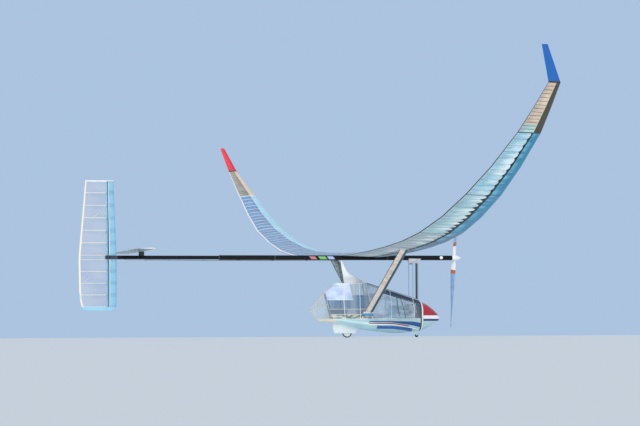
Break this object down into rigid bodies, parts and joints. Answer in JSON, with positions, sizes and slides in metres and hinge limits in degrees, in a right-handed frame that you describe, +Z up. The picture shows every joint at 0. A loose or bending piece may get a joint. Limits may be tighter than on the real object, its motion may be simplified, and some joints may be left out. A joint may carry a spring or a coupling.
{
  "type": "human-powered aircraft",
  "caption": "Pedal-driven aircraft with a long strut-braced wing bent upwards, winglets, a tractor propeller on a boom and a clear pod for one pilot on two wheels.",
  "frame": {"origin": "on the boom's axis where the wing's main spar crosses it, where the crew or a cradle holds the aircraft", "axes": "+X forward to the nose, +Y to port along the wing, +Z up"},
  "size_m": [8.935, 28.7264, 5.2935],
  "materials": {
    "carbon": "smooth black carbon tube",
    "wing_skin": "pale cyan film over foam",
    "outer_skin": "tan film over foam",
    "blue_foam": "light blue foam and clear film",
    "winglet_blue": "strong blue film",
    "winglet_red": "red film",
    "strut_skin": "tan foam fairing with a dark front",
    "hull_shell": "painted shell, cyan with blue stripes",
    "nose_shell": "painted shell, red above, white below",
    "white_foam": "white foam and tape",
    "clear_film": "clear stretched film",
    "spine_cover": "dark blue cover",
    "metal": "machined",
    "steel": "oiled",
    "rubber": "matt",
    "rim": "white disc",
    "seat_net": "dark netting",
    "propeller_blue": "blue-grey blades, white cuffs"
  },
  "bodies": {
    "airframe": {"boom_front": "carbon", "boom_middle": "carbon", "boom_rear": "carbon", "boom_sleeves": "carbon", "cabin_roof": "white_foam", "cabin_windows": "clear_film", "chain": "steel", "crank_bracket": "metal", "front_hoop": "carbon", "front_pylon": "carbon", "front_windows": "clear_film", "gearbox": "white_foam", "hull": "hull_shell", "main_hoop": "carbon", "main_wheel_fairing": "white_foam", "nose_bearing": "metal", "nose_cone": "nose_shell", "nose_ring": "carbon", "nose_wheel_fairing": "clear_film", "quarter_panels": "white_foam", "rear_hoop": "carbon", "rear_pylon_fairing": "white_foam", "rear_pylon_ladder": "carbon", "rudder_block": "blue_foam", "seat": "seat_net", "seat_bars": "carbon", "stabilator_pylon": "blue_foam", "strut_fittings": "white_foam", "strut_left": "strut_skin", "strut_right": "strut_skin", "tail_frame": "white_foam", "tail_window": "clear_film", "top_spine": "spine_cover", "top_sprocket": "steel", "wheel_axles": "steel", "wing_centre": "wing_skin", "wing_end_left": "wing_skin", "wing_end_right": "wing_skin", "wing_inner_left": "wing_skin", "wing_inner_right": "wing_skin", "wing_mid_left": "wing_skin", "wing_mid_right": "wing_skin", "wing_outer_left": "wing_skin", "wing_outer_right": "wing_skin", "wing_tip_left": "outer_skin", "wing_tip_right": "outer_skin", "winglet_left": "winglet_red", "winglet_right": "winglet_blue"},
    "propeller": {"propeller": "propeller_blue", "propeller_shaft": "steel", "spinner": "white_foam"},
    "crank": {"crank_axle": "metal", "crank_arms": "metal"},
    "pedal_left": {"pedal_left": "carbon"},
    "pedal_right": {"pedal_right": "carbon"},
    "main_wheel": {"main_tyre": "rubber", "main_rim": "rim"},
    "nose_wheel": {"nose_wheel": "rubber"},
    "rudder": {"rudder": "blue_foam"},
    "stabilator": {"stabilator": "blue_foam"}
  },
  "joints": [
    {"name": "propeller_spin", "type": "hinge", "parent": "airframe", "child": "propeller", "pos_m": [2.022, 0, 0], "axis": [-1, 0, 0], "continuous": true},
    {"name": "crank_spin", "type": "hinge", "parent": "airframe", "child": "crank", "pos_m": [0.98, 0, -1.24], "axis": [0, 1, 0], "continuous": true},
    {"name": "pedal_left_spin", "type": "hinge", "parent": "crank", "child": "pedal_left", "pos_m": [0.98, 0.104, -1.405], "axis": [0, 1, 0], "continuous": true},
    {"name": "pedal_right_spin", "type": "hinge", "parent": "crank", "child": "pedal_right", "pos_m": [0.98, -0.104, -1.075], "axis": [0, 1, 0], "continuous": true},
    {"name": "main_wheel_spin", "type": "hinge", "parent": "airframe", "child": "main_wheel", "pos_m": [-0.557, 0, -1.715], "axis": [0, 1, 0], "continuous": true},
    {"name": "nose_wheel_spin", "type": "hinge", "parent": "airframe", "child": "nose_wheel", "pos_m": [1.098, 0, -1.79], "axis": [0, 1, 0], "continuous": true},
    {"name": "rudder_turn", "type": "hinge", "parent": "airframe", "child": "rudder", "pos_m": [-6.127, 0, 0], "axis": [0, 0, 1], "range_deg": [-20, 20]},
    {"name": "stabilator_tilt", "type": "hinge", "parent": "airframe", "child": "stabilator", "pos_m": [-5.33, 0, 0.15], "axis": [0, 1, 0], "range_deg": [-10, 10]}
  ]
}
